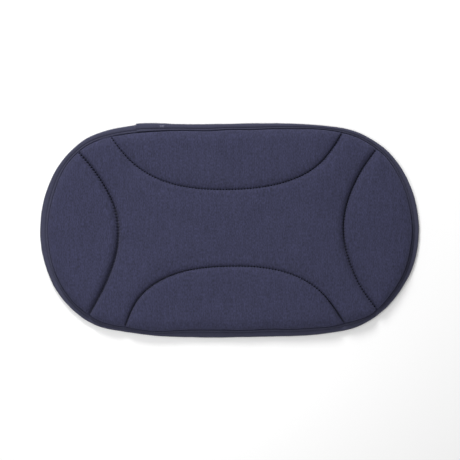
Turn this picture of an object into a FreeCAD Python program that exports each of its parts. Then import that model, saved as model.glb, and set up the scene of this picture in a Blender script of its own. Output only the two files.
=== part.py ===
import FreeCAD, Part
import os
from math import hypot
from FreeCAD import Vector

os.makedirs("parts", exist_ok=True)

# ---------------------------------------------------------------- driving dimensions (mm)
# The pad lies flat: X is its length, Y its width, Z its thickness; z = 0 is the plane it rests on.
# Origin: middle of the base.

PAD_THICKNESS = 16.0      # panels, cloth included
FACE_CLOTH = 0.8          # melange knit on the face
BACK_CLOTH = 0.5          # knit on the back
FOAM_IN_SEAM = 0.8        # the foam where the lockstitch squeezes it
SEAM_BACK_LIFT = 1.5      # the stitching lifts the back cloth off the base plane by this much

TAPE_CLOTH = 0.6          # woven edge tape, folded round the edge
TAPE_TO_PANEL = 1.1       # open gutter between the tape's inner edge and the panel shoulder
TAPE_STITCH_AT = 0.70     # stitch line, as a share of the tape's visible width from the outer fold
TAPE_EDGE_CHAMFER = 0.4
LAP_CENTRE = (-95.25, 127.5)   # middle of the tape's lapped length, on the outline
LAP_LENGTH = 34.5

THREAD = 0.4              # thickness of the laid threads
SEAM_SLOT = 0.6           # half width of the flat valley floor along a quilting seam
SHOULDER_RUN = 9.4        # how far the face takes to rise from the valley to the flat panel
SHOULDER_BEND = (2.6, 0.70)   # run, and share of the rise, of the shoulder's middle point
CHANNEL_HALF = 6.0        # half width of the shallow channel along a seam in the back
CHANNEL_FLAT = 1.0

# outer edge of the pad (the tape's fold), x and y, with the tape's visible width there
OUTLINE = [
    (227.59, -0.08, 8.18), (225.32, 24.99, 8.54), (218.82, 49.31, 8.27), (207.92, 72.02, 7.72),
    (192.74, 92.12, 6.75), (173.01, 107.69, 6.08), (150.48, 118.77, 5.60), (125.95, 124.21, 5.03),
    (100.91, 126.49, 4.79), (75.81, 128.04, 6.35), (50.67, 128.37, 6.60), (25.52, 128.28, 7.47),
    (0.37, 127.77, 6.93), (-24.77, 127.41, 8.00), (-49.91, 127.22, 7.57), (-75.06, 127.87, 8.46),
    (-100.21, 127.40, 9.42), (-125.17, 124.34, 8.80), (-149.76, 119.12, 8.35), (-172.85, 109.34, 7.45),
    (-192.23, 93.50, 6.93), (-207.73, 73.75, 7.72), (-218.47, 51.01, 9.24), (-225.14, 26.79, 9.55),
    (-227.56, 1.74, 9.21), (-225.89, -23.39, 9.35), (-219.43, -47.69, 8.31), (-209.23, -70.69, 8.30),
    (-193.79, -90.54, 7.27), (-174.59, -106.69, 6.72), (-151.82, -117.40, 5.73), (-127.05, -122.07, 5.43),
    (-102.15, -125.69, 4.74), (-77.06, -127.77, 6.10), (-51.93, -128.72, 8.27), (-26.77, -129.07, 8.89),
    (-1.62, -128.93, 8.60), (23.52, -128.35, 7.87), (48.67, -127.98, 8.89), (73.82, -127.39, 7.97),
    (98.96, -126.14, 8.13), (123.91, -122.98, 6.95), (148.55, -117.85, 7.81), (171.18, -106.87, 5.03),
    (190.72, -91.03, 6.21), (206.19, -71.20, 6.74), (218.33, -49.23, 7.71), (225.24, -25.10, 8.35),
]

# the four quilting seams, each an arc that bulges towards the middle of the pad
SEAMS = {
    "left": [(-181.62, 94.54), (-164.50, 74.61), (-149.78, 52.94), (-138.49, 29.11), (-133.26, 3.16),
             (-135.06, -23.31), (-142.46, -48.77), (-153.08, -72.93), (-165.74, -96.08)],
    "upper": [(-142.35, 111.96), (-117.43, 81.86), (-84.13, 60.80), (-46.00, 50.69), (-6.58, 48.41),
              (32.80, 50.59), (71.36, 58.98), (106.04, 78.00), (130.33, 109.01)],
    "right": [(177.00, 98.06), (161.40, 77.30), (148.90, 54.65), (140.08, 30.26), (136.41, 4.54),
              (138.95, -21.35), (146.59, -46.25), (158.03, -69.71), (173.43, -90.90)],
    "lower": [(-125.39, -116.67), (-109.03, -81.96), (-78.36, -57.88), (-40.98, -46.54), (-1.63, -43.24),
              (37.87, -44.64), (76.00, -53.55), (109.38, -74.27), (133.40, -105.03)],
}

# ---------------------------------------------------------------- levels, from the base up
Z_BACK_SEAM = SEAM_BACK_LIFT                     # underside of the back cloth in a seam or under the tape
Z_FOAM_SEAM = Z_BACK_SEAM + BACK_CLOTH
Z_FACE_SEAM = Z_FOAM_SEAM + FOAM_IN_SEAM         # underside of the face cloth there
Z_TOP_SEAM = Z_FACE_SEAM + FACE_CLOTH            # top of the face cloth there
BIG = 24.0
RING_PIECES = 16
SEAM_PIECES = 5
SEAM_RUN_ON = 22.0


def normals(pts):
    """Inward unit normals of a closed counter-clockwise run of points."""
    out = []
    n = len(pts)
    for i in range(n):
        x0, y0 = pts[i - 1][:2]
        x1, y1 = pts[(i + 1) % n][:2]
        dx, dy = x1 - x0, y1 - y0
        length = hypot(dx, dy)
        out.append((-dy / length, dx / length))
    return out


NORMALS = normals(OUTLINE)


def ring_curve(inset):
    """Closed smooth curve inside the outline; inset is a number, or a function of the tape's width."""
    pts = []
    for (x, y, w), (nx, ny) in zip(OUTLINE, NORMALS):
        d = inset(w) if callable(inset) else inset
        pts.append(Vector(x + nx * d, y + ny * d, 0))
    curve = Part.BSplineCurve()
    curve.interpolate(Points=pts, PeriodicFlag=True)
    return curve


def pieces(curve, count):
    """The curve as a wire of count edges, so that each face made from it is short."""
    a, b = curve.FirstParameter, curve.LastParameter
    edges = []
    for i in range(count):
        part = curve.copy()
        part.segment(a + (b - a) * i / count, a + (b - a) * (i + 1) / count)
        edges.append(part.toShape())
    return Part.Wire(edges)


def ring_wire(inset, z=0.0):
    wire = pieces(ring_curve(inset), RING_PIECES)
    wire.translate(Vector(0, 0, z))
    return wire


def prism(inset, z0, z1):
    """The plan area inside a closed curve, between two levels."""
    return Part.Face(ring_wire(inset, z0)).extrude(Vector(0, 0, z1 - z0))


def seam_curve(name, reach=0.0):
    """A seam's line, run on at both ends by reach."""
    pts = [Vector(x, y, 0) for x, y in SEAMS[name]]
    if reach:
        a = (pts[0] - pts[1]).normalize()
        b = (pts[-1] - pts[-2]).normalize()
        pts = [pts[0] + a * reach] + pts + [pts[-1] + b * reach]
    curve = Part.BSplineCurve()
    curve.interpolate(Points=pts)
    return curve


def profile(points2d, origin, side):
    """Closed profile in the plane of side and Z. An entry of three pairs is an arc."""
    def at(p):
        return origin + side * p[0] + Vector(0, 0, p[1])
    edges = []
    for item in points2d:
        if len(item) == 3:
            edges.append(Part.Arc(at(item[0]), at(item[1]), at(item[2])).toShape())
        else:
            edges.append(Part.LineSegment(at(item[0]), at(item[1])).toShape())
    return Part.Wire(edges)


def sweep(path_curve, points2d, count=1):
    """Solid swept along a flat curve; the profile's first axis points to the left of travel."""
    p0 = path_curve.value(path_curve.FirstParameter)
    tangent = path_curve.tangent(path_curve.FirstParameter)[0]
    side = Vector(-tangent.y, tangent.x, 0)
    maker = Part.BRepOffsetAPI.MakePipeShell(pieces(path_curve, count))
    maker.setBiNormalMode(Vector(0, 0, 1))
    maker.add(profile(points2d, p0, side))
    maker.build()
    maker.makeSolid()
    solid = maker.shape()
    if solid.Volume < 0:
        solid.reverse()
    return solid


def shoulder(u0, down):
    """Arc from the valley floor up to the flat of the panel; down moves it in by a cloth's thickness."""
    z0, z1 = Z_TOP_SEAM - down, PAD_THICKNESS - down
    run, share = SHOULDER_BEND
    return ((u0 + down, z0),
            (u0 + run + 0.75 * down, z0 + (PAD_THICKNESS - Z_TOP_SEAM) * share + 0.35 * down),
            (u0 + SHOULDER_RUN + 0.3 * down, z1))


def mirror(p):
    return (-p[0], p[1])


def seam_groove(name, down):
    """The valley that a seam pulls into the face."""
    a, m, b = shoulder(SEAM_SLOT, down)
    top = PAD_THICKNESS + 6.0
    pts = [((mirror(a)), a), (a, m, b), (b, (b[0], top)), ((b[0], top), (-b[0], top)),
           ((-b[0], top), mirror(b)), (mirror(b), mirror(m), mirror(a))]
    return sweep(seam_curve(name, SEAM_RUN_ON), pts, SEAM_PIECES)


def rim_groove(down):
    """Everything outside the panels' outer shoulder, above the flange that the tape grips."""
    a, m, b = shoulder(0.0, down)
    top = PAD_THICKNESS + 6.0
    pts = [((-BIG, a[1]), a), (a, m, b), (b, (b[0], top)), ((b[0], top), (-BIG, top)),
           ((-BIG, top), (-BIG, a[1]))]
    return sweep(ring_curve(lambda w: w + TAPE_TO_PANEL), pts, RING_PIECES)


def seam_channel(name, up):
    """The shallow channel along a seam in the back."""
    half, flat, rise = CHANNEL_HALF, CHANNEL_FLAT, Z_BACK_SEAM
    pts = [((-half, -6.0), (half, -6.0)), ((half, -6.0), (half, up)), ((half, up), (flat, rise + up)),
           ((flat, rise + up), (-flat, rise + up)), ((-flat, rise + up), (-half, up)),
           ((-half, up), (-half, -6.0))]
    return sweep(seam_curve(name, SEAM_RUN_ON), pts, SEAM_PIECES)


def rim_channel(up):
    """The back rises to the flange all round."""
    rise = Z_BACK_SEAM
    pts = [((-BIG, -6.0), (5.0, -6.0)), ((5.0, -6.0), (5.0, up)), ((5.0, up), (0.0, rise + up)),
           ((0.0, rise + up), (-BIG, rise + up)), ((-BIG, rise + up), (-BIG, -6.0))]
    return sweep(ring_curve(lambda w: w + TAPE_TO_PANEL), pts, RING_PIECES)


def cut_all(base, tools):
    for tool in tools:
        base = base.cut(tool)
    return base


def tidy(shape):
    if shape.ShapeType == "Compound" and len(shape.Solids) == 1:
        shape = shape.Solids[0]
    return shape


def save(name, shape):
    shape = tidy(shape)
    print("%-30s solids %d valid %s volume %.1f mm3 box %.2f %.2f %.2f .. %.2f %.2f %.2f" % (
        name, len(shape.Solids), shape.isValid(), shape.Volume,
        shape.BoundBox.XMin, shape.BoundBox.YMin, shape.BoundBox.ZMin,
        shape.BoundBox.XMax, shape.BoundBox.YMax, shape.BoundBox.ZMax))
    shape.exportStep("parts/%s.step" % name)
    return shape


# ---------------------------------------------------------------- the padded body
# Cloth and foam share one flange at the edge; their outer wall sits inside the tape's fold.
FLANGE_INSET = TAPE_CLOTH


def below_face(down):
    """All that lies under the face surface, lowered by down."""
    return cut_all(prism(FLANGE_INSET, -8.0, PAD_THICKNESS - down),
                   [rim_groove(down)] + [seam_groove(k, down) for k in SEAMS])


def above_back(up):
    """All that lies over the back surface, raised by up."""
    return cut_all(prism(FLANGE_INSET, up, PAD_THICKNESS + 4.0),
                   [rim_channel(up)] + [seam_channel(k, up) for k in SEAMS])


under_face = below_face(0.0)
under_lining = below_face(FACE_CLOTH)
over_back = above_back(0.0)
over_lining = above_back(BACK_CLOTH)

face = under_face.cut(under_lining)
foam = under_lining.common(over_lining)
back = over_back.cut(over_lining)

save("face_fabric", face)
save("foam_core", foam)
save("back_fabric", back)

# ---------------------------------------------------------------- the edge tape
tape_low = Z_BACK_SEAM - TAPE_CLOTH
tape_high = Z_TOP_SEAM + TAPE_CLOTH


tape = prism(0.0, tape_low, tape_high)
outer_edges = [e for e in tape.Edges if e.BoundBox.ZLength < 0.01]
tape = tape.makeChamfer(TAPE_EDGE_CHAMFER, outer_edges)
tape = tape.cut(prism(FLANGE_INSET, Z_BACK_SEAM, Z_TOP_SEAM))
tape = tape.cut(prism(lambda w: w, -1.0, tape_high + 1.0))

# the finishing end, lapped over the start of the tape
lx, ly = LAP_CENTRE
lap_box = Part.makeBox(LAP_LENGTH, 24.0, 10.0, Vector(lx - LAP_LENGTH / 2.0, ly - 14.0, -2.0))
lap = prism(-TAPE_CLOTH, tape_low - TAPE_CLOTH, tape_high + TAPE_CLOTH).common(lap_box)
lap = lap.cut(prism(0.25, tape_low, tape_high))
lap = lap.cut(prism(lambda w: w, -3.0, tape_high + 3.0))
binding = tape.fuse(lap)
save("edge_binding", binding)


# ---------------------------------------------------------------- threads
def ribbon_ring(share, z0, z1):
    half = THREAD / 2.0
    return prism(lambda w: w * share - half, z0, z1).cut(prism(lambda w: w * share + half, z0 - 1, z1 + 1))


def in_box(shape, x0, x1):
    return shape.common(Part.makeBox(x1 - x0, 60.0, 20.0, Vector(x0, 90.0, -5.0)))


def lapped_thread(z_near, z_far, z_lo, z_hi):
    """A stitch line on the tape that steps over the lap. z_near..: level on the tape, on the lap."""
    x0, x1 = lx - LAP_LENGTH / 2.0, lx + LAP_LENGTH / 2.0
    flat = ribbon_ring(TAPE_STITCH_AT, *z_near)
    flat = flat.cut(Part.makeBox(x1 - x0, 60.0, 20.0, Vector(x0, 90.0, -5.0)))
    over = in_box(ribbon_ring(TAPE_STITCH_AT, *z_far), x0 - THREAD, x1 + THREAD)
    steps = ribbon_ring(TAPE_STITCH_AT, z_lo, z_hi)
    steps = in_box(steps, x0 - THREAD, x0).fuse(in_box(steps, x1, x1 + THREAD))
    return flat.fuse(over).fuse(steps)


t, c = THREAD, TAPE_CLOTH
save("binding_needle_thread",
     lapped_thread((tape_high, tape_high + t), (tape_high + c, tape_high + c + t), tape_high, tape_high + c + t))
save("binding_bobbin_thread",
     lapped_thread((tape_low - t, tape_low), (tape_low - c - t / 2, tape_low - c), tape_low - c - t / 2, tape_low))

inside_tape = prism(lambda w: w + 0.15, -1.0, 20.0)
for name in SEAMS:
    half = THREAD / 2.0
    for role, z in (("needle", Z_TOP_SEAM), ("bobbin", Z_BACK_SEAM - THREAD)):
        line = [((-half, z), (half, z)), ((half, z), (half, z + THREAD)),
                ((half, z + THREAD), (-half, z + THREAD)), ((-half, z + THREAD), (-half, z))]
        laid = sweep(seam_curve(name, 12.0), line).common(inside_tape)
        save("quilt_%s_thread_%s" % (role, name), laid)

# bar tack across the end of the lap: a few short stitches side by side
bars = []
for i in range(4):
    bars.append(Part.makeBox(0.35, 3.4, 0.35,
                             Vector(lx + LAP_LENGTH / 2.0 - 1.6 - i * 1.1, ly - 4.9, tape_high + c)))
tack = bars[0]
for b in bars[1:]:
    tack = tack.fuse(b)
save("lap_bar_tack", tack)
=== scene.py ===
import math

import bpy
import numpy as np
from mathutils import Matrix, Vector
from mathutils.geometry import delaunay_2d_cdt
from mathutils.kdtree import KDTree


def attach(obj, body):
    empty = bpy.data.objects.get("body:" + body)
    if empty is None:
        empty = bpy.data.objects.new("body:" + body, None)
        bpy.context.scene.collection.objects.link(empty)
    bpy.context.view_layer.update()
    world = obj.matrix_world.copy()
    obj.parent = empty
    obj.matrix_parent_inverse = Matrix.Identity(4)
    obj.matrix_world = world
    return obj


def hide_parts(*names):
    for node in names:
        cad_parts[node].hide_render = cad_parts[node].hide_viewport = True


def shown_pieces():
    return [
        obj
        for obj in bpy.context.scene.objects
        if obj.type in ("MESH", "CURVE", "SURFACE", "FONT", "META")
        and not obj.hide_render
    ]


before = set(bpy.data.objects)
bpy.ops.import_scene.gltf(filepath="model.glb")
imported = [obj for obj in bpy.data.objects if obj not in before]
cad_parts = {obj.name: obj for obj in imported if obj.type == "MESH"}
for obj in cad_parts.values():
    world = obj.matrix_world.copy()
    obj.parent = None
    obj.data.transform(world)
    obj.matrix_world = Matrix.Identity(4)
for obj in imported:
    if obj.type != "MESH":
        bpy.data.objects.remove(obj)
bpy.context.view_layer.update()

rng = np.random.RandomState(7)

# ------------------------------------------------------------------ the pad's plan, in millimetres
# x, y of the outer fold of the edge tape, and the tape's visible width there
OUTLINE = np.array([
    (227.59, -0.08, 8.18), (225.32, 24.99, 8.54), (218.82, 49.31, 8.27), (207.92, 72.02, 7.72),
    (192.74, 92.12, 6.75), (173.01, 107.69, 6.08), (150.48, 118.77, 5.60), (125.95, 124.21, 5.03),
    (100.91, 126.49, 4.79), (75.81, 128.04, 6.35), (50.67, 128.37, 6.60), (25.52, 128.28, 7.47),
    (0.37, 127.77, 6.93), (-24.77, 127.41, 8.00), (-49.91, 127.22, 7.57), (-75.06, 127.87, 8.46),
    (-100.21, 127.40, 9.42), (-125.17, 124.34, 8.80), (-149.76, 119.12, 8.35), (-172.85, 109.34, 7.45),
    (-192.23, 93.50, 6.93), (-207.73, 73.75, 7.72), (-218.47, 51.01, 9.24), (-225.14, 26.79, 9.55),
    (-227.56, 1.74, 9.21), (-225.89, -23.39, 9.35), (-219.43, -47.69, 8.31), (-209.23, -70.69, 8.30),
    (-193.79, -90.54, 7.27), (-174.59, -106.69, 6.72), (-151.82, -117.40, 5.73), (-127.05, -122.07, 5.43),
    (-102.15, -125.69, 4.74), (-77.06, -127.77, 6.10), (-51.93, -128.72, 8.27), (-26.77, -129.07, 8.89),
    (-1.62, -128.93, 8.60), (23.52, -128.35, 7.87), (48.67, -127.98, 8.89), (73.82, -127.39, 7.97),
    (98.96, -126.14, 8.13), (123.91, -122.98, 6.95), (148.55, -117.85, 7.81), (171.18, -106.87, 5.03),
    (190.72, -91.03, 6.21), (206.19, -71.20, 6.74), (218.33, -49.23, 7.71), (225.24, -25.10, 8.35),
])
SEAMS = {
    "left": [(-181.62, 94.54), (-164.50, 74.61), (-149.78, 52.94), (-138.49, 29.11), (-133.26, 3.16),
             (-135.06, -23.31), (-142.46, -48.77), (-153.08, -72.93), (-165.74, -96.08)],
    "upper": [(-142.35, 111.96), (-117.43, 81.86), (-84.13, 60.80), (-46.00, 50.69), (-6.58, 48.41),
              (32.80, 50.59), (71.36, 58.98), (106.04, 78.00), (130.33, 109.01)],
    "right": [(177.00, 98.06), (161.40, 77.30), (148.90, 54.65), (140.08, 30.26), (136.41, 4.54),
              (138.95, -21.35), (146.59, -46.25), (158.03, -69.71), (173.43, -90.90)],
    "lower": [(-125.39, -116.67), (-109.03, -81.96), (-78.36, -57.88), (-40.98, -46.54), (-1.63, -43.24),
              (37.87, -44.64), (76.00, -53.55), (109.38, -74.27), (133.40, -105.03)],
}
PITCH = 3.66            # lockstitch length on the tape
# lockstitch length of each quilting seam, how far the stitches run ahead at its nine stations, in stitches, how hard
# the needle holes draw in, and the crease width at which the banks stop meeting between them
STITCH = {
    "left": (3.805, [0.36, 0.28, 0.13, 0.11, 0.23, 0.21, 0.13, 0.28, 0.40], 1.85, 1.40),
    "upper": (3.647, [0.20, 0.72, 0.75, 0.53, 0.58, 0.55, 0.29, 0.20, -0.30], 0.80, 1.00),
    "right": (3.664, [0.80, 0.80, 0.74, 0.76, 0.76, 0.72, 0.70, 0.65, 0.60], 1.20, 1.60),
    "lower": (3.633, [0.80, 0.50, 0.50, 0.38, 0.23, 0.25, 0.48, 0.36, 0.15], 0.80, 1.00),
}
Z_TOP = 16.0            # flat of the panels
Z_VALLEY = 3.6          # face cloth at a seam and on the flange
Z_BACK = 1.5            # back cloth at a seam and on the flange
GUTTER = 0.9            # from the tape's inner edge to the foot of the panel's shoulder
SHOULDER = 10.0
LAP_A, LAP_B = -78.0, -112.5     # X of the two ends of the tape where they lap, on the upper edge


# ------------------------------------------------------------------ curves
def spline(points, closed):
    """Cubic spline through points, as rows evenly spaced 0.25 mm apart by length. Extra columns ride along."""
    p = np.asarray(points, float)
    n = len(p)
    q = np.vstack([p, p[:1]]) if closed else p
    h = np.hypot(*(q[1:, :2] - q[:-1, :2]).T)
    t = np.r_[0, np.cumsum(h)]
    a, r = np.zeros((n, n)), np.zeros_like(p)
    for i in range(n):
        if not closed and i in (0, n - 1):
            a[i, i] = 1.0
            continue
        im, ip = (i - 1) % n, (i + 1) % n
        hm, hp = h[i - 1] if i else h[-1], h[i]
        a[i, im] += hm
        a[i, i] += 2 * (hm + hp)
        a[i, ip] += hp
        r[i] = 6 * ((p[ip] - p[i]) / hp - (p[i] - p[im]) / hm)
    m = np.linalg.solve(a, r)

    def at(u):
        i = np.clip(np.searchsorted(t, u, side="right") - 1, 0, len(h) - 1)
        j = (i + 1) % n
        s, hi = (u - t[i])[:, None], h[i][:, None]
        b = hi - s
        return ((m[i] * b ** 3 + m[j] * s ** 3) / (6 * hi) + (p[i] / hi - m[i] * hi / 6) * b
                + (p[j] / hi - m[j] * hi / 6) * s)

    fine = at(np.linspace(0, t[-1], 12001))
    length = np.r_[0, np.cumsum(np.hypot(*(fine[1:, :2] - fine[:-1, :2]).T))]
    count = int(round(length[-1] / 0.25))
    want = np.linspace(0, length[-1], count + 1)
    out = np.stack([np.interp(want, length, fine[:, k]) for k in range(fine.shape[1])], 1)
    return (out[:-1] if closed else out), length[-1]


def unit(v):
    return v / np.maximum(np.linalg.norm(v, axis=-1, keepdims=True), 1e-12)


ring, RING_LEN = spline(OUTLINE, True)
rt = unit(np.roll(ring[:, :2], -2, 0) - np.roll(ring[:, :2], 2, 0))
ring_n = np.stack([-rt[:, 1], rt[:, 0]], 1)          # inward, for a counter-clockwise outline
RN = len(ring)


def on_ring(s, inset):
    """Points at arc length s on the outline, moved inward. inset: number, array, or function of the width."""
    k = np.mod(np.asarray(s, float) / RING_LEN * RN, RN)
    i, f = k.astype(int) % RN, (k % 1)[:, None]
    j = (i + 1) % RN
    p = ring[i] * (1 - f) + ring[j] * f
    nn = unit(ring_n[i] * (1 - f) + ring_n[j] * f)
    d = inset(p[:, 2]) if callable(inset) else inset
    return p[:, :2] + nn * np.reshape(d, (-1, 1)) * np.ones((len(p), 1)), nn, p[:, 2]


def ring_s_at(x, upper=True):
    """Arc length on the outline where it passes x, on the upper or the lower edge."""
    side = ring[:, 1] > 0 if upper else ring[:, 1] < 0
    k = np.argmin(np.abs(ring[:, 0] - x) + np.where(side, 0, 1e6))
    return k * RING_LEN / RN


seams = {}
for name, pts in SEAMS.items():
    p, length = spline(np.array(pts), False)
    a, b = unit(p[0] - p[4]), unit(p[-1] - p[-5])
    extra = np.arange(0.25, 26.0, 0.25)[:, None]
    p = np.vstack([(p[0] + a * extra)[::-1], p, p[-1] + b * extra])
    s = np.r_[0, np.cumsum(np.hypot(*(p[1:] - p[:-1]).T))]
    seams[name] = (p, s)

RUN_IN = 25.75                                          # how far each seam is drawn on past its ends


def station(name, s):
    """0 to 8 along a seam's nine stations."""
    return np.clip((np.asarray(s) - RUN_IN) / (seams[name][1][-1] - 2 * RUN_IN), 0, 1) * 8


HOLES = {}                                              # arc length of each needle hole
for name, (p, s) in seams.items():
    fine = np.arange(0, s[-1], 0.05)
    turn = (fine - RUN_IN) / STITCH[name][0] - np.interp(station(name, fine), np.arange(9), STITCH[name][1]) - 0.5
    HOLES[name] = np.interp(np.arange(math.ceil(turn[0]), math.floor(turn[-1]) + 1), turn, fine)


def from_hole(name, s):
    """Distance along the seam to the nearest needle hole, and a wave that is 1 at a hole and 0 midway."""
    x = np.interp(s, HOLES[name], np.arange(len(HOLES[name])))
    return (x - np.round(x)) * STITCH[name][0], 0.5 + 0.5 * np.cos(2 * np.pi * x)


def to_line(q, p, s, closed=False, chunk=3000):
    """Distance from points q to polyline p, the arc length there, and the side: +1 to the left of travel."""
    q = np.asarray(q, float)
    dist, arc, side = np.empty(len(q)), np.empty(len(q)), np.empty(len(q))
    step = 4
    coarse = p[::step]
    n = len(p)
    for a in range(0, len(q), chunk):
        c = q[a:a + chunk]
        d2 = ((c[:, None, :] - coarse[None, :, :]) ** 2).sum(2)
        k = d2.argmin(1) * step
        best = np.full(len(c), 1e18)
        ba, bs = np.zeros(len(c)), np.zeros(len(c))
        for o in range(-step, step):
            i = k + o
            j = i + 1
            if closed:
                i, j = i % n, j % n
            else:
                i, j = np.clip(i, 0, n - 2), np.clip(i, 0, n - 2) + 1
            u = p[j] - p[i]
            w = c - p[i]
            f = np.clip((w * u).sum(1) / np.maximum((u * u).sum(1), 1e-12), 0, 1)
            e = w - u * f[:, None]
            d = (e ** 2).sum(1)
            m = d < best
            best[m] = d[m]
            ba[m] = (s[i] + f * np.hypot(*u.T))[m]
            bs[m] = np.sign(u[:, 0] * w[:, 1] - u[:, 1] * w[:, 0])[m]
        dist[a:a + chunk], arc[a:a + chunk], side[a:a + chunk] = np.sqrt(best), ba, bs
    return dist, arc, side


RING_S = np.arange(RN) * RING_LEN / RN
foot, _, _ = on_ring(RING_S, lambda w: w + GUTTER)      # foot of the panels' outer shoulder
foot_s = np.r_[0, np.cumsum(np.hypot(*(foot[1:] - foot[:-1]).T))]


def fields(q):
    """Signed distance inside the shoulder's foot, the arc length there, and for each seam its distance and arc length."""
    d, a, side = to_line(q, foot, foot_s, True)
    out = {"rim": (d * side, a)}
    for name, (p, s) in seams.items():
        ds, sa, sd = to_line(q, p, s)
        out[name] = (ds, sa, sd)
    return out


# ------------------------------------------------------------------ heights
# for each seam at its nine stations: half width of the crease between needle holes, on the left of travel and on
# the right, and how much wider it is at a hole
CREASE = {
    "left": ([0.12, 0.14, 0.44, 1.20, 2.15, 2.70, 2.80, 2.60, 2.10], [0.12, 0.14, 0.44, 1.10, 1.75, 2.15, 2.20, 2.05, 1.70],
             [0.70, 0.75, 0.85, 1.00, 0.90, 0.80, 0.70, 0.70, 0.60]),
    "upper": ([0.40, 0.14, 0.14, 0.20, 0.36, 0.45, 0.90, 1.45, 1.40], [0.22, 0.10, 0.10, 0.12, 0.18, 0.20, 0.24, 0.26, 0.34],
              [0.60, 0.65, 0.65, 0.60, 0.60, 0.55, 0.45, 0.40, 0.40]),
    "right": ([0.28, 0.95, 1.45, 1.30, 1.45, 1.65, 1.60, 0.55, 0.22], [0.85, 1.25, 1.40, 1.20, 1.20, 1.35, 1.25, 0.40, 0.18],
              [0.50, 0.50, 0.50, 0.55, 0.65, 0.70, 0.70, 0.65, 0.55]),
    "lower": ([1.20, 2.20, 1.65, 0.75, 0.45, 0.36, 0.26, 0.55, 1.60], [1.00, 1.60, 0.95, 0.34, 0.26, 0.12, 0.18, 0.40, 1.20],
              [0.50, 0.45, 0.50, 0.60, 0.65, 0.65, 0.65, 0.60, 0.50]),
}
# soft roll-over beside each seam at its nine stations, on the left of travel and on the right: drops, runs
SEAM_DOME = {
    "left": (([4.0, 5.2, 6.2, 6.4, 6.2, 6.2, 6.2, 6.2, 6.2], [8.0, 9.0, 9.0, 9.0, 9.0, 9.0, 9.0, 9.0, 9.0]),
             ([4.4, 6.0, 7.6, 7.8, 7.2, 6.6, 6.4, 6.4, 6.6], [9.5, 11.0, 11.5, 11.5, 11.5, 11.5, 11.0, 11.0, 11.5])),
    "upper": (([3.4, 3.4, 3.6, 3.5, 3.4, 3.4, 3.4, 3.5, 3.9], [13.5] * 9),
              ([3.9, 6.0, 4.8, 3.8, 3.7, 3.8, 4.1, 4.9, 7.6], [7.0, 9.5, 7.8, 6.8, 7.0, 7.8, 9.0, 13.5, 19.0])),
    "right": (([5.6, 6.0, 6.4, 6.6, 6.2, 6.8, 7.0, 7.2, 7.0], [12.5, 13.0, 12.5, 13.5, 15.0, 15.5, 15.0, 15.0, 13.0]),
              ([6.0, 6.1, 6.3, 6.5, 6.8, 7.1, 7.2, 9.0, 9.6], [12.5, 12.5, 12.5, 12.5, 12.5, 12.5, 13.0, 14.0, 14.0])),
    "lower": (([4.8, 4.6, 3.9, 3.7, 3.6, 3.7, 3.7, 3.6, 3.6], [13.0] * 9),
              ([5.2, 3.8, 4.2, 4.3, 4.4, 4.4, 4.1, 4.6, 9.4], [12.0, 8.0, 7.5, 7.0, 7.0, 7.5, 7.5, 10.0, 14.0])),
}
RIM_DOME = 4.6


def wall(d, run):
    x = np.clip(d / run, 0, 1)
    return (1 - (1 - x) ** 2.2) ** 0.55


def dome(d, run=13.5):
    x = np.clip(d / run, 0, 1)
    return 1 - (1 - x) ** 3.1


def smooth(x):
    x = np.clip(x, 0, 1)
    return x * x * (3 - 2 * x)


def bump_wave(s, pitch):
    """1 at a needle hole, 0 midway between two."""
    return 0.5 + 0.5 * np.cos(2 * np.pi * (s / pitch - 0.5))


def face_height(q, f=None, erode=0.0, crown=None):
    """Top of the padded face. erode thins the panels sideways, for the foam inside; crown is the height the filling adds."""
    f = f or fields(q)
    nine = np.arange(9)
    rim = f["rim"][0] - erode
    walls = np.where(rim > 0, wall(np.maximum(rim, 0), 1.15), 0.0)
    drop = RIM_DOME * (1 - dome(np.maximum(rim, 0)))
    near = np.maximum(rim, 0)
    dips = pits = 0.0
    for name in seams:
        d, s, side = f[name]
        at = station(name, s)
        share = 0.5 + 0.5 * side * smooth(d / 1.5)           # 1 well to the left, 0 well to the right
        left, right, extra = (np.interp(at, nine, c) for c in CREASE[name])
        run = np.where(side > 0, left, right)
        thin = 0.5 * (left + right)
        off, hole = from_hole(name, s)
        d = np.maximum(d - erode - 0.25 * run, 0)
        here = wall(d, run + extra * hole ** 2)
        if not erode:                                        # the banks press together between two holes
            gain, meet = STITCH[name][2:]
            pinch = 0.92 * np.clip((meet - thin) / (0.75 * meet), 0, 1)
            here = here + (1 - here) * pinch * (1 - hole ** 1.8)
            deep = gain * (1.2 + 2.9 * np.clip((1.4 - thin) / 1.2, 0, 1))
            pits = pits + deep * np.exp(-(d / (0.62 + 0.26 * gain)) ** 2 - (off / 0.68) ** 2)
        walls = walls * here
        banks = [np.interp(at, nine, drops) * (1 - dome(d, np.interp(at, nine, runs))) for drops, runs in SEAM_DOME[name]]
        here = share * banks[0] + (1 - share) * banks[1]
        drop = drop + (0.84 + 0.20 * np.minimum(thin, 1.1)) * here * (1 - drop / 11.0)
        near = np.minimum(near, d)
        dips = dips + 0.45 * hole ** 3 * np.exp(-(d / 0.6) ** 2)
        dips = dips - 0.30 * (0.5 - hole) * np.exp(-((d - 1.9) / 1.2) ** 2) * (rim > 0)
    z = Z_VALLEY + walls * (Z_TOP - Z_VALLEY - 0.5 - drop)
    if crown is None:
        crown = 0.5 * (1 - np.exp(-np.maximum(near - 6, 0) / 18.0))
    top = z + crown - np.where(rim > -2, dips, 0)
    return np.where(rim > 0, np.maximum(top - pits, np.minimum(top, Z_VALLEY - 0.45)), top)


def back_height(q, f=None):
    f = f or fields(q)
    rim, _ = f["rim"]
    h = np.where(rim > 0, smooth(rim / 6.5), 0.0)
    for name in seams:
        d, s, _ = f[name]
        h = h * smooth(d / 6.0)
    z = Z_BACK * (1 - h)
    for name in seams:
        d, s, _ = f[name]
        z += 0.22 * from_hole(name, s)[1] ** 3 * np.exp(-(d / 0.8) ** 2) * (rim > -2)
    return z


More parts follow.
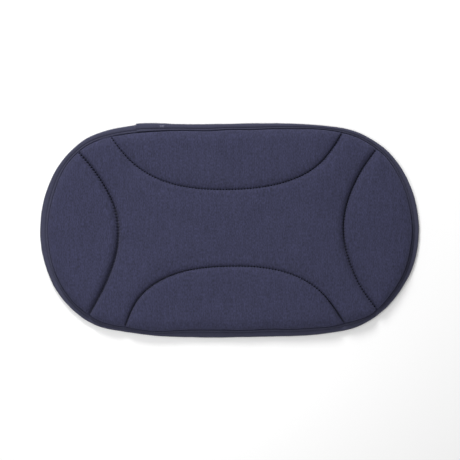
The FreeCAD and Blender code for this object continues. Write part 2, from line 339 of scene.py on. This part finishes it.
# ------------------------------------------------------------------ plan meshes
class Cloud:
    """Points in the plane that keep their distance; earlier ones win."""

    def __init__(self, cell):
        self.cell, self.grid, self.pts, self.edges = cell, {}, [], []

    def near(self, x, y, r):
        c = self.cell
        n = int(math.ceil(r / c))
        i, j = int(x // c), int(y // c)
        for a in range(i - n, i + n + 1):
            for b in range(j - n, j + n + 1):
                for k in self.grid.get((a, b), ()):
                    px, py = self.pts[k]
                    if (px - x) ** 2 + (py - y) ** 2 < r * r:
                        return True
        return False

    def add(self, x, y, r):
        if r and self.near(x, y, r):
            return -1
        k = len(self.pts)
        self.pts.append((float(x), float(y)))
        self.grid.setdefault((int(x // self.cell), int(y // self.cell)), []).append(k)
        return k

    def line(self, pts, r, closed=False):
        last, first = -1, -1
        for x, y in pts:
            k = self.add(x, y, r)
            if k < 0:
                continue
            if last >= 0:
                self.edges.append((last, k))
            if first < 0:
                first = k
            last = k
        if closed and first >= 0:
            self.edges.append((last, first))


def plan_mesh(edge_inset, seam_rows, rim_rows, flange_rows, grid, keep):
    """Triangles over the pad's plan, with rows of points along the seams and the rim."""
    c = Cloud(1.0)
    n = int(RING_LEN / 1.5)
    sr = np.arange(n) * RING_LEN / n
    edge, _, _ = on_ring(sr, edge_inset)
    c.line(edge, 0, True)
    c.line(on_ring(sr, lambda w: w + GUTTER)[0], 0, True)
    lines = {}
    for name, (p, s) in seams.items():
        k0 = np.arange(6 * (len(HOLES[name]) - 1))               # six rows of points to a stitch, every sixth at a hole
        sk = np.interp(k0 / 6.0, np.arange(len(HOLES[name])), HOLES[name])
        base = np.stack([np.interp(sk, s, p[:, 0]), np.interp(sk, s, p[:, 1])], 1)
        tan = unit(np.stack([np.interp(sk + 0.5, s, p[:, 0]) - np.interp(sk - 0.5, s, p[:, 0]),
                             np.interp(sk + 0.5, s, p[:, 1]) - np.interp(sk - 0.5, s, p[:, 1])], 1))
        nor = np.stack([-tan[:, 1], tan[:, 0]], 1)
        lines[name] = (base, nor, k0)
    # inside the outer boundary only
    def inside(q, margin):
        d, _, side = to_line(q, ring[:, :2], RING_S, True)
        return d * side > margin

    for name, (base, nor, k0) in lines.items():
        ok = inside(base, edge_inset + 0.5)
        c.line(base[ok], 0.25)
    for name, (base, nor, k0) in lines.items():
        for d, every, r in seam_rows:
            for sign in (1, -1):
                q = (base + nor * d * sign)[k0 % every == 0]
                q = q[inside(q, edge_inset + 0.5)]
                if len(q) == 0:
                    continue
                f = fields(q)
                others = np.min([f[o][0] for o in seams if o != name], 0)
                q = q[(others > d * 0.8) & (np.abs(f["rim"][0]) > min(d, 1.2) * 0.5)]
                for x, y in q:
                    c.add(x, y, r)
    for d, gap, r in rim_rows:
        m = int(RING_LEN / gap)
        q = on_ring(np.arange(m) * RING_LEN / m, lambda w: w + GUTTER + d)[0]
        for x, y in q:
            c.add(x, y, r)
    for share, gap, r in flange_rows:
        m = int(RING_LEN / gap)
        q = on_ring(np.arange(m) * RING_LEN / m, lambda w: edge_inset + (w + GUTTER - edge_inset) * share)[0]
        for x, y in q:
            c.add(x, y, r)
    ny = int(270 / (grid * 0.866))
    gx, gy = [], []
    for j in range(-ny // 2, ny // 2 + 1):
        for i in range(-int(240 / grid), int(240 / grid) + 1):
            gx.append((i + 0.5 * (j % 2)) * grid)
            gy.append(j * grid * 0.866)
    q = np.stack([gx, gy], 1)
    q += rng.uniform(-0.12, 0.12, q.shape) * grid
    f = fields(q)
    near = np.minimum(f["rim"][0], np.min([f[o][0] for o in seams], 0))
    for x, y in q[near > keep]:
        c.add(x, y, grid * 0.6)
    res = delaunay_2d_cdt([Vector(p) for p in c.pts], c.edges, [], 0, 1e-5)
    v = np.array([tuple(p) for p in res[0]])
    t = np.array([f for f in res[2] if len(f) == 3])
    mid = v[t].mean(1)
    t = t[inside(mid, edge_inset - 0.02)]
    a, b, d = v[t[:, 0]], v[t[:, 1]], v[t[:, 2]]
    area = (b[:, 0] - a[:, 0]) * (d[:, 1] - a[:, 1]) - (b[:, 1] - a[:, 1]) * (d[:, 0] - a[:, 0])
    t[area < 0] = t[area < 0][:, ::-1]
    t = t[np.abs(area) > 1e-7]
    used = np.unique(t)
    remap = np.full(len(v), -1)
    remap[used] = np.arange(len(used))
    return v[used], remap[t]


def boundary(tris):
    """Directed edges that only one triangle has."""
    e = np.vstack([tris[:, [0, 1]], tris[:, [1, 2]], tris[:, [2, 0]]])
    key = e[:, 0].astype(np.int64) * 10 ** 7 + e[:, 1]
    rev = e[:, 1].astype(np.int64) * 10 ** 7 + e[:, 0]
    return e[~np.isin(key, rev)]


def mesh_object(name, verts_mm, faces, attributes=None, shade=True):
    me = bpy.data.meshes.new(name)
    v = np.asarray(verts_mm, np.float32) / 1000.0
    me.from_pydata([], [], [])
    faces = [tuple(int(i) for i in f) for f in faces]
    me.from_pydata(v.tolist(), [], faces)
    me.update()
    if shade:
        me.polygons.foreach_set("use_smooth", np.ones(len(me.polygons), bool))
    for key, value in (attributes or {}).items():
        at = me.attributes.new(key, "FLOAT", "POINT")
        at.data.foreach_set("value", np.asarray(value, np.float32))
    o = bpy.data.objects.new(name, me)
    bpy.context.scene.collection.objects.link(o)
    return o


def shell(name, plan, tris, z_up, z_down):
    """Closed solid between two height fields over one plan mesh."""
    n = len(plan)
    v = np.vstack([np.c_[plan, z_up], np.c_[plan, z_down]])
    rim = boundary(tris)
    walls = [(a, a + n, b + n, b) for a, b in rim]
    faces = tris.tolist() + (tris[:, ::-1] + n).tolist() + walls
    return mesh_object(name, v, faces)


# ------------------------------------------------------------------ face, back and foam
seam_rows = [(0.28, 1, 0.22), (0.58, 1, 0.24), (0.92, 1, 0.27), (1.35, 1, 0.34), (1.95, 1, 0.42), (2.75, 2, 0.6),
             (3.8, 3, 0.9), (5.2, 3, 1.1), (7.0, 3, 1.3), (9.2, 4, 1.5), (11.8, 4, 1.9)]
rim_rows = [(0.3, 1.4, 0.22), (0.65, 1.4, 0.26), (1.05, 1.4, 0.3), (1.5, 1.4, 0.36), (2.1, 1.4, 0.5), (3.0, 1.6, 0.7),
            (4.2, 1.9, 0.95), (5.6, 2.0, 1.1), (7.4, 2.2, 1.4), (9.6, 2.4, 1.6), (12.2, 2.6, 1.8)]
plan, tris = plan_mesh(0.75, seam_rows, rim_rows, [(0.35, 2.2, 1.0), (0.7, 2.2, 0.8)], 3.0, 13.4)
ff = fields(plan)


def puff():
    """Cloth simulation of the face: a coarse copy pinned at the seams and the rim, blown out by the foam's push."""
    cp, ct = plan_mesh(0.75, [(2.4, 6, 2.0), (5.4, 9, 3.2)], [(2.0, 4.0, 2.4), (5.6, 5.5, 3.6)], [(0.5, 4.0, 2.0)], 5.2, 8.2)
    cf = fields(cp)
    near = np.minimum(cf["rim"][0], np.min([cf[o][0] for o in seams], 0))
    start = face_height(cp, cf, crown=0.0)
    o = mesh_object("puff", np.c_[cp, start], ct.tolist())
    group = o.vertex_groups.new(name="pin")
    hold = 1 - smooth((near - 0.8) / 2.6)
    for i in np.nonzero(hold > 0.001)[0]:
        group.add([int(i)], float(hold[i]), "REPLACE")
    c = o.modifiers.new("Cloth", "CLOTH")
    k = c.settings
    k.quality = 7
    k.mass = 0.2
    k.tension_stiffness = k.compression_stiffness = 22.0
    k.shear_stiffness = 10.0
    k.bending_stiffness = 2.0
    k.air_damping = 3.0
    k.vertex_group_mass = "pin"
    k.use_pressure = True
    k.uniform_pressure_force = 4.0
    k.effector_weights.gravity = 0.0
    c.collision_settings.use_collision = False
    c.point_cache.frame_start, c.point_cache.frame_end = 1, 20
    sc = bpy.context.scene
    for frame_no in range(1, 21):
        sc.frame_set(frame_no)
    ev = o.evaluated_get(bpy.context.evaluated_depsgraph_get())
    co = np.empty(len(cp) * 3)
    ev.data.vertices.foreach_get("co", co)
    move = co.reshape(-1, 3) * 1000.0 - np.c_[cp, start]
    sc.frame_set(1)
    me = o.data
    bpy.data.objects.remove(o)
    bpy.data.meshes.remove(me)
    size = np.linalg.norm(move, axis=1, keepdims=True)
    print("puff: %d points, moved %.2f mm on average, %.2f at most" % (len(cp), size.mean(), size.max()))
    cap = 1.1
    move = move * cap * np.tanh(size / cap) / np.maximum(size, 1e-9)
    tree = KDTree(len(cp))
    for i, (x, y) in enumerate(cp):
        tree.insert((x, y, 0), i)
    tree.balance()
    out = np.zeros((len(plan), 3))
    for i, (x, y) in enumerate(plan):
        hits = tree.find_n((x, y, 0), 4)
        w = np.array([1.0 / (0.4 + h[2] ** 2) for h in hits])
        out[i] = (move[[h[1] for h in hits]] * w[:, None]).sum(0) / w.sum()
    near = np.minimum(ff["rim"][0], np.min([ff[o][0] for o in seams], 0))
    return out * smooth((near - 0.3) / 3.5)[:, None]


moved = puff()
zf = face_height(plan, ff, crown=0.0) + np.clip(moved[:, 2], -0.2, 0.62)
face_xy = plan + np.clip(moved[:, :2], -0.35, 0.35)
face = shell("face_knit", face_xy, tris, zf, zf - 0.8)
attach(face, "root")
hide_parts("face_fabric")

bplan, btris = plan_mesh(0.75, [(0.7, 2, 0.45), (1.5, 3, 0.7), (2.6, 3, 0.9), (4.0, 3, 1.2), (5.8, 6, 1.8)],
                         [(1.0, 2.2, 0.8), (2.4, 2.4, 1.1), (4.2, 3.0, 1.5), (6.4, 3.2, 1.9)],
                         [(0.5, 3.0, 1.4)], 5.0, 7.5)
bf = fields(bplan)
zb = back_height(bplan, bf)
back = shell("back_knit", bplan, btris, zb + 0.5, zb)
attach(back, "root")
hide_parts("back_fabric")

foam_top = face_height(bplan, bf, 2.1) - 1.85
foam_low = zb + 0.55
foam_top = np.maximum(foam_top, foam_low + 0.03)
foam = shell("foam_sheet", bplan, btris, foam_top, foam_low)
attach(foam, "root")
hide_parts("foam_core")

# ------------------------------------------------------------------ edge tape
S_A, S_B = ring_s_at(LAP_A), ring_s_at(LAP_B)
LAP = (S_B - S_A) % RING_LEN
TAPE_LEN = RING_LEN + LAP
RIB = 2.6


TUCKS = [(-151.0, 8.5, 0.75)]         # X on the upper edge, half length, depth: places where the tape's lip is drawn under


def lean(x, y):
    """How much the outer part of the tape stands up (or, on the upper edge, rolls down) along the outline."""
    ends = np.where(x < 0, 0.55 * smooth((-x - 150) / 50), -0.20 * smooth((x - 150) / 50))
    return ends + np.where(y > 0, -0.22 * smooth((y - 60) / 50), 0.62 * smooth((-y - 60) / 50) * smooth((230 - np.abs(x)) / 60))


def tape_profile(w, lift):
    """Outer surface of the tape across its width, from the inner edge on top, round the fold, to the inner edge below.
    Rows of (distance inward, height, share from the top inner edge)."""
    u = np.array([1.0, 0.975, 0.935, 0.885, 0.83, 0.785, 0.745, 0.71, 0.665, 0.59, 0.47, 0.36, 0.26, 0.17, 0.09, 0.035, 0.0,
                  0.0, 0.035, 0.09, 0.20, 0.38, 0.58, 0.70, 0.85, 1.0])
    z = np.array([3.98, 4.20, 4.36, 4.38, 4.16, 3.62, 3.22, 3.42, 4.08, 4.50, 4.68, 4.72, 4.66, 4.46, 4.08, 3.50, 2.85,
                  2.35, 1.75, 1.30, 1.00, 0.92, 0.95, 1.08, 0.95, 1.02])
    return u, z


def lap_out(left):
    """How far the lap stands outward of the single tape, by the distance left to its cut end."""
    return np.interp(left, [0, 3, 10, 18, 24, 29, 40], [1.50, 1.45, 1.20, 0.80, 0.5, 0.3, 0.0])


def build_tape():
    n = int(TAPE_LEN / 0.65)
    t = np.linspace(0, TAPE_LEN, n)
    s = S_A + t
    u0, z0 = tape_profile(1.0, 0.0)
    m = len(u0)
    lift = 0.72 * smooth((t - (RING_LEN - 8.0)) / 8.0)         # climbs over its own beginning
    base, nn, w = on_ring(s, 0.0)
    out = -lap_out(TAPE_LEN - t)                              # outward
    rib = np.cos(2 * np.pi * t / RIB)
    wob = np.interp(t, np.linspace(0, TAPE_LEN, 140), rng.normal(0, 0.10, 140))
    rings = []
    for k in range(m):
        inset = u0[k] * w + out * (1 - 0.55 * u0[k])
        fold = math.exp(-(u0[k] / 0.22) ** 2)
        inset = inset - 0.10 * rib * fold + wob * fold
        top = k < 17
        z = z0[k] + (lift if top else -0.45 * lift)
        if top:
            z = z + lean(base[:, 0], base[:, 1]) * np.clip((0.55 - u0[k]) / 0.55, 0, 1)
            hole = bump_wave(s, PITCH) ** 2
            z = z - 0.22 * hole * math.exp(-((u0[k] - 0.745) / 0.06) ** 2)
            z = z + 0.10 * (1 - hole) * math.exp(-((u0[k] - 0.875) / 0.07) ** 2)
            z = z + 0.05 * rib * math.exp(-((u0[k] - 0.3) / 0.25) ** 2)
            for place, half, deep in TUCKS:
                away = np.abs((s - ring_s_at(place) + RING_LEN / 2) % RING_LEN - RING_LEN / 2)
                z = z - deep * np.exp(-(away / half) ** 2) * smooth((u0[k] - 0.74) / 0.10)
        xy = base + nn * np.reshape(inset, (-1, 1))
        rings.append(np.c_[xy, z])
    outer = np.stack(rings, 1)                                # (n, m, 3)
    # inner surface: in by the tape's thickness
    th = 0.5
    across = outer[:, 2:, :] - outer[:, :-2, :]
    across = np.concatenate([outer[:, 1:2] - outer[:, :1], across, outer[:, -1:] - outer[:, -2:-1]], 1)
    along = np.gradient(outer, axis=0)
    nor = unit(np.cross(across, along))
    # make the normals point to the inside of the fold
    centre = np.concatenate([base + nn * np.reshape(w * 0.5, (-1, 1)), np.full((n, 1), 2.7)], 1)[:, None, :]
    flip = np.sign(((centre - outer) * nor).sum(2))
    flip[:, :3] = -np.sign(nor[:, :3, 2])
    flip[:, -3:] = np.sign(nor[:, -3:, 2])
    inner = outer + nor * flip[..., None] * th
    v = np.concatenate([outer.reshape(-1, 3), inner.reshape(-1, 3)])
    idx = lambda i, k: i * m + k
    N = n * m
    faces = []
    for i in range(n - 1):
        for k in range(m - 1):
            faces.append((idx(i, k), idx(i, k + 1), idx(i + 1, k + 1), idx(i + 1, k)))
            faces.append((N + idx(i, k), N + idx(i + 1, k), N + idx(i + 1, k + 1), N + idx(i, k + 1)))
        faces.append((idx(i, 0), idx(i + 1, 0), N + idx(i + 1, 0), N + idx(i, 0)))
        faces.append((idx(i, m - 1), N + idx(i, m - 1), N + idx(i + 1, m - 1), idx(i + 1, m - 1)))
    for i, turn in ((0, False), (n - 1, True)):
        for k in range(m - 1):
            f = (idx(i, k), N + idx(i, k), N + idx(i, k + 1), idx(i, k + 1))
            faces.append(f[::-1] if turn else f)
    arc = np.tile(np.repeat(t, m), 2)
    width = np.tile(np.tile(np.r_[0, np.cumsum(np.hypot(np.diff(u0 * 7.0), np.diff(z0)))], n), 2)
    o = mesh_object("edge_tape", v, faces, {"tape_s": arc, "tape_u": width})
    # outward faces
    import bmesh
    bm = bmesh.new()
    bm.from_mesh(o.data)
    bmesh.ops.recalc_face_normals(bm, faces=bm.faces)
    bm.to_mesh(o.data)
    bm.free()
    return o, t, s, lift


tape, tape_t, tape_s, tape_lift = build_tape()
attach(tape, "root")
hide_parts("edge_binding")


# ------------------------------------------------------------------ stitches
def stitches(name, points, spans, radius, dip, sides=6, rings=9, up=1.0):
    """Laid threads. spans: list of (p0, p1), the needle holes of each stitch, in mm; dip is how deep the ends turn in."""
    vs, fs, al = [], [], []
    ts = np.linspace(0, 1, rings)
    for a, b in spans:
        a, b = np.array(a, float), np.array(b, float)
        d = unit((b - a)[None])[0]
        zed = np.array([0, 0, 1.0])
        side = unit(np.cross(zed, d)[None])[0]
        path = a + (b - a) * ts[:, None]
        drop = dip * (np.abs(2 * ts - 1) ** 3.2)
        path[:, 2] -= drop * up
        tang = unit(np.gradient(path, axis=0))
        r = radius * (1 - 0.25 * np.abs(2 * ts - 1) ** 6)
        k0 = len(vs)
        for i in range(rings):
            nrm = np.cross(tang[i], side)
            for j in range(sides):
                an = 2 * math.pi * j / sides
                vs.append(path[i] + r[i] * (math.cos(an) * side + math.sin(an) * nrm))
                al.append(ts[i] * PITCH)
        for i in range(rings - 1):
            for j in range(sides):
                j2 = (j + 1) % sides
                fs.append((k0 + i * sides + j, k0 + i * sides + j2, k0 + (i + 1) * sides + j2, k0 + (i + 1) * sides + j))
        fs.append(tuple(k0 + j for j in range(sides))[::-1])
        fs.append(tuple(k0 + (rings - 1) * sides + j for j in range(sides)))
    o = mesh_object(name, np.array(vs), fs, {"thread_s": al})
    import bmesh
    bm = bmesh.new()
    bm.from_mesh(o.data)
    bmesh.ops.recalc_face_normals(bm, faces=bm.faces)
    bm.to_mesh(o.data)
    bm.free()
    return o


def seam_spans(name, z, inset_extra):
    p, s = seams[name]
    q = np.stack([np.interp(HOLES[name], s, p[:, 0]), np.interp(HOLES[name], s, p[:, 1])], 1)
    d, a, side = to_line(q, foot, foot_s, True)
    ok = d * side > inset_extra
    q = q[ok]
    return [((*q[i], z), (*q[i + 1], z)) for i in range(len(q) - 1)]


for name in SEAMS:
    o = stitches("quilt_needle_stitches_" + name, None, seam_spans(name, Z_VALLEY + 0.16, -1.2), 0.24, 0.55)
    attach(o, "root")
    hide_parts("quilt_needle_thread_" + name)
    o = stitches("quilt_bobbin_stitches_" + name, None, seam_spans(name, Z_BACK - 0.16, -1.2), 0.22, 0.45, up=-1.0)
    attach(o, "root")
    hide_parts("quilt_bobbin_thread_" + name)


def tape_spans(top):
    k = np.arange(math.ceil((S_A + 3) / PITCH), int((S_A + RING_LEN + 1.5) / PITCH)) + 0.5
    s = k * PITCH
    lift = 0.72 * smooth((s - S_A - (RING_LEN - 8.0)) / 8.0)
    extra = np.where((s - S_A) < LAP, 0.72, 0.0)       # the lap lies over the beginning
    h = np.maximum(lift, extra)
    left = np.where((s - S_A) < LAP, LAP - (s - S_A), TAPE_LEN - (s - S_A))
    base, nn, w = on_ring(s, 0.0)
    u = 0.745
    inset = u * w - lap_out(left) * (1 - 0.55 * u)
    xy = base + nn * inset[:, None]
    z = (3.50 + h) if top else (0.98 - 0.45 * h)
    return [((*xy[i], z[i]), (*xy[i + 1], z[i + 1])) for i in range(len(xy) - 1)]


o = stitches("tape_needle_stitches", None, tape_spans(True), 0.21, 0.42)
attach(o, "root")
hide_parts("binding_needle_thread")
o = stitches("tape_bobbin_stitches", None, tape_spans(False), 0.2, 0.35, up=-1.0)
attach(o, "root")
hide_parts("binding_bobbin_thread")

tack = []
for i in range(6):
    x = -83.6 + i * 0.92
    s0 = ring_s_at(x)
    a, nn, w = on_ring(np.array([s0]), 2.1 + 0.35 * (i % 2))
    b, _, _ = on_ring(np.array([s0 - 0.35]), 4.9 - 0.30 * (i % 2))
    tack.append(((*a[0], 5.62), (*b[0], 5.30)))
o = stitches("tape_tack_stitches", None, tack, 0.3, 0.5)
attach(o, "root")
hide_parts("lap_bar_tack")


# ------------------------------------------------------------------ materials
def new_material(name):
    m = bpy.data.materials.new(name)
    m.use_nodes = True
    nt = m.node_tree
    nt.nodes.clear()
    out = nt.nodes.new("ShaderNodeOutputMaterial")
    bsdf = nt.nodes.new("ShaderNodeBsdfPrincipled")
    nt.links.new(bsdf.outputs[0], out.inputs[0])
    return m, nt, bsdf


def node(nt, kind, **inputs):
    n = nt.nodes.new(kind)
    for k, v in inputs.items():
        if k in n.inputs:
            n.inputs[k].default_value = v
        else:
            setattr(n, k, v)
    return n


def link(nt, a, b):
    nt.links.new(a, b)


def mapped(nt, scale, source="Object"):
    tc = nt.nodes.new("ShaderNodeTexCoord")
    mp = nt.nodes.new("ShaderNodeMapping")
    mp.inputs["Scale"].default_value = scale
    link(nt, tc.outputs[source], mp.inputs["Vector"])
    return mp.outputs[0]


def ramp(nt, fac, stops):
    r = nt.nodes.new("ShaderNodeValToRGB")
    el = r.color_ramp.elements
    while len(el) < len(stops):
        el.new(0.5)
    for e, (pos, col) in zip(el, stops):
        e.position = pos
        e.color = (*col, 1.0)
    link(nt, fac, r.inputs[0])
    return r.outputs[0]


def noise(nt, vector, scale, detail=2.0, rough=0.5):
    n = nt.nodes.new("ShaderNodeTexNoise")
    n.inputs["Scale"].default_value = scale
    n.inputs["Detail"].default_value = detail
    n.inputs["Roughness"].default_value = rough
    link(nt, vector, n.inputs["Vector"])
    return n.outputs[0]


def math_node(nt, op, a, b=None):
    n = nt.nodes.new("ShaderNodeMath")
    n.operation = op
    for i, x in enumerate((a, b)):
        if x is None:
            continue
        if isinstance(x, (int, float)):
            n.inputs[i].default_value = x
        else:
            link(nt, x, n.inputs[i])
    return n.outputs[0]


def mix(nt, fac, a, b, blend="MIX"):
    n = nt.nodes.new("ShaderNodeMix")
    n.data_type = "RGBA"
    n.blend_type = blend
    if isinstance(fac, (int, float)):
        n.inputs[0].default_value = fac
    else:
        link(nt, fac, n.inputs[0])
    for i, x in ((6, a), (7, b)):
        if isinstance(x, tuple):
            n.inputs[i].default_value = (*x, 1.0)
        else:
            link(nt, x, n.inputs[i])
    return n.outputs[2]


def bump(nt, height, strength, distance, normal=None):
    n = nt.nodes.new("ShaderNodeBump")
    n.inputs["Strength"].default_value = strength
    n.inputs["Distance"].default_value = distance
    link(nt, height, n.inputs["Height"])
    if normal is not None:
        link(nt, normal, n.inputs["Normal"])
    return n.outputs[0]


def sines(nt, vector, fx, fy):
    """Interlocked knit columns: wales along Y, courses across."""
    sep = nt.nodes.new("ShaderNodeSeparateXYZ")
    link(nt, vector, sep.inputs[0])
    sx = math_node(nt, "SINE", math_node(nt, "MULTIPLY", sep.outputs[0], fx))
    sy = math_node(nt, "SINE", math_node(nt, "MULTIPLY", sep.outputs[1], fy))
    return sx, sy


def knit_material(name, dark, mid, light, strength=0.5):
    m, nt, b = new_material(name)
    n1 = noise(nt, mapped(nt, (1.0, 0.38, 0.6)), 940.0, 1.0, 0.5)
    n2 = noise(nt, mapped(nt, (1.0, 0.095, 0.6)), 780.0, 1.0, 0.5)
    broad = noise(nt, mapped(nt, (1.0, 0.8, 1.0)), 38.0, 3.0, 0.55)
    col = ramp(nt, n1, [(0.30, dark), (0.50, mid), (0.70, light)])
    col2 = ramp(nt, n2, [(0.32, dark), (0.5, mid), (0.68, light)])
    c = mix(nt, 0.28, col, col2)
    shade = ramp(nt, broad, [(0.3, (0.95, 0.95, 0.955)), (0.7, (1.045, 1.045, 1.04))])
    c = mix(nt, 1.0, c, shade, "MULTIPLY")
    link(nt, c, b.inputs["Base Color"])
    b.inputs["Roughness"].default_value = 0.92
    b.inputs["Specular IOR Level"].default_value = 0.12
    b.inputs["Sheen Weight"].default_value = 0.10
    b.inputs["Sheen Roughness"].default_value = 0.55
    b.inputs["Sheen Tint"].default_value = (0.55, 0.56, 0.9, 1.0)
    vec = mapped(nt, (1.0, 1.0, 1.0))
    sx, sy = sines(nt, vec, 2 * math.pi / 0.00095, 2 * math.pi / 0.0008)
    loops = math_node(nt, "MULTIPLY", sx, sy)
    h = math_node(nt, "ADD", math_node(nt, "MULTIPLY", loops, 0.5), n1)
    fuzz = noise(nt, vec, 2600.0, 2.0, 0.6)
    h = math_node(nt, "ADD", h, fuzz)
    link(nt, bump(nt, h, strength, 0.00022), b.inputs["Normal"])
    return m


def attribute(nt, name):
    a = nt.nodes.new("ShaderNodeAttribute")
    a.attribute_type = "GEOMETRY"
    a.attribute_name = name
    return a.outputs["Fac"]


def tape_material():
    m, nt, b = new_material("tape_weave")
    s, u = attribute(nt, "tape_s"), attribute(nt, "tape_u")
    comb = nt.nodes.new("ShaderNodeCombineXYZ")
    link(nt, s, comb.inputs[0])
    link(nt, u, comb.inputs[1])
    rib = math_node(nt, "SINE", math_node(nt, "MULTIPLY", s, 2 * math.pi / 1.3))
    warp = math_node(nt, "SINE", math_node(nt, "MULTIPLY", u, 2 * math.pi / 0.75))
    n1 = noise(nt, comb.outputs[0], 1.1, 3.0, 0.6)
    n2 = noise(nt, comb.outputs[0], 0.12, 2.0, 0.5)
    col = ramp(nt, n1, [(0.3, (0.0318, 0.0329, 0.0567)), (0.5, (0.0411, 0.0422, 0.0744)), (0.72, (0.0545, 0.0557, 0.0965))])
    ribs = math_node(nt, "MULTIPLY_ADD", rib, 0.5)
    ribs.node.inputs[2].default_value = 0.5
    col = mix(nt, 1.0, col, ramp(nt, ribs, [(0.0, (0.84, 0.84, 0.85)), (1.0, (1.13, 1.13, 1.12))]), "MULTIPLY")
    col = mix(nt, 1.0, col, ramp(nt, n2, [(0.3, (0.94, 0.94, 0.95)), (0.7, (1.05, 1.05, 1.04))]), "MULTIPLY")
    link(nt, col, b.inputs["Base Color"])
    b.inputs["Roughness"].default_value = 0.85
    b.inputs["Specular IOR Level"].default_value = 0.2
    b.inputs["Sheen Weight"].default_value = 0.06
    b.inputs["Sheen Roughness"].default_value = 0.5
    h = math_node(nt, "ADD", math_node(nt, "MULTIPLY", rib, 0.6), math_node(nt, "MULTIPLY", math_node(nt, "MULTIPLY", rib, warp), 0.5))
    h = math_node(nt, "ADD", h, n1)
    link(nt, bump(nt, h, 0.5, 0.00016), b.inputs["Normal"])
    return m


def thread_material(name, base, light):
    m, nt, b = new_material(name)
    s = attribute(nt, "thread_s")
    tw = math_node(nt, "SINE", math_node(nt, "MULTIPLY", s, 2 * math.pi / 0.45))
    n1 = noise(nt, mapped(nt, (1, 1, 1)), 900.0, 2.0, 0.5)
    link(nt, ramp(nt, n1, [(0.35, base), (0.7, light)]), b.inputs["Base Color"])
    b.inputs["Roughness"].default_value = 0.55
    b.inputs["Sheen Weight"].default_value = 0.1
    link(nt, bump(nt, math_node(nt, "ADD", tw, n1), 0.4, 0.00008), b.inputs["Normal"])
    return m


def foam_material():
    m, nt, b = new_material("foam_cells")
    v = nt.nodes.new("ShaderNodeTexVoronoi")
    v.inputs["Scale"].default_value = 900.0
    link(nt, mapped(nt, (1, 1, 1)), v.inputs["Vector"])
    link(nt, ramp(nt, v.outputs["Distance"], [(0.1, (0.62, 0.58, 0.44)), (0.6, (0.82, 0.79, 0.66))]), b.inputs["Base Color"])
    b.inputs["Roughness"].default_value = 0.95
    link(nt, bump(nt, v.outputs["Distance"], 0.5, 0.0004), b.inputs["Normal"])
    return m


FACE = knit_material("melange_knit", (0.0224, 0.0232, 0.0420), (0.0324, 0.0332, 0.0654), (0.0440, 0.0450, 0.0955))
BACK = knit_material("back_knit", (0.0225, 0.0228, 0.0375), (0.0270, 0.0273, 0.0465), (0.0338, 0.0342, 0.0600), 0.4)
TAPE = tape_material()
THREAD = thread_material("navy_thread", (0.018, 0.018, 0.032), (0.036, 0.037, 0.064))
TACK = thread_material("tack_thread", (0.10, 0.10, 0.155), (0.18, 0.18, 0.26))
FOAM = foam_material()
face.data.materials.append(FACE)
back.data.materials.append(BACK)
tape.data.materials.append(TAPE)
foam.data.materials.append(FOAM)
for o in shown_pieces():
    if "stitches" in o.name:
        o.data.materials.append(TACK if "tack" in o.name else THREAD)



# ------------------------------------------------------------------ floor, light, camera
me = bpy.data.meshes.new("floor")
R = 12.0
me.from_pydata([(-R, -R, -0.0004), (R, -R, -0.0004), (R, R, -0.0004), (-R, R, -0.0004)], [], [(0, 1, 2, 3)])
floor = bpy.data.objects.new("floor", me)
bpy.context.scene.collection.objects.link(floor)
m, nt, b = new_material("pale_floor")
b.inputs["Base Color"].default_value = (0.89, 0.89, 0.89, 1)
b.inputs["Roughness"].default_value = 0.9
b.inputs["Specular IOR Level"].default_value = 0.1
me.materials.append(m)

scene = bpy.context.scene
scene.view_settings.view_transform = "Standard"
scene.view_settings.look = "None"
world = bpy.data.worlds.new("studio")
scene.world = world
world.use_nodes = True
bg = world.node_tree.nodes["Background"]
bg.inputs["Color"].default_value = (1.0, 1.0, 1.0, 1)
bg.inputs["Strength"].default_value = 0.41


def area(name, loc, size, power, target=(0, 0, 0)):
    d = bpy.data.lights.new(name, "AREA")
    d.shape = "DISK"
    d.size = size
    d.energy = power
    o = bpy.data.objects.new(name, d)
    o.location = loc
    o.rotation_mode = "QUATERNION"
    o.rotation_quaternion = (Vector(target) - Vector(loc)).to_track_quat("-Z", "Y")
    o.visible_camera = False
    scene.collection.objects.link(o)
    return o


area("key", (-0.32, 1.32, 0.90), 0.50, 21.5)
area("side", (-0.21, -0.10, 0.53), 0.30, 1.06)
area("top", (0.1, 0.1, 2.6), 2.2, 14.9)

cam_data = bpy.data.cameras.new("camera")
cam_data.lens = 100.0
cam_data.sensor_width = 36.0
cam = bpy.data.objects.new("camera", cam_data)
scene.collection.objects.link(cam)
height = 0.552 * 100.0 / 36.0 / 0.9994
cam.location = (0.00048, 0.00007, height + 0.004)
cam.rotation_euler = (0, 0, 0)
cam_data.clip_start, cam_data.clip_end = 0.01, 60
scene.camera = cam
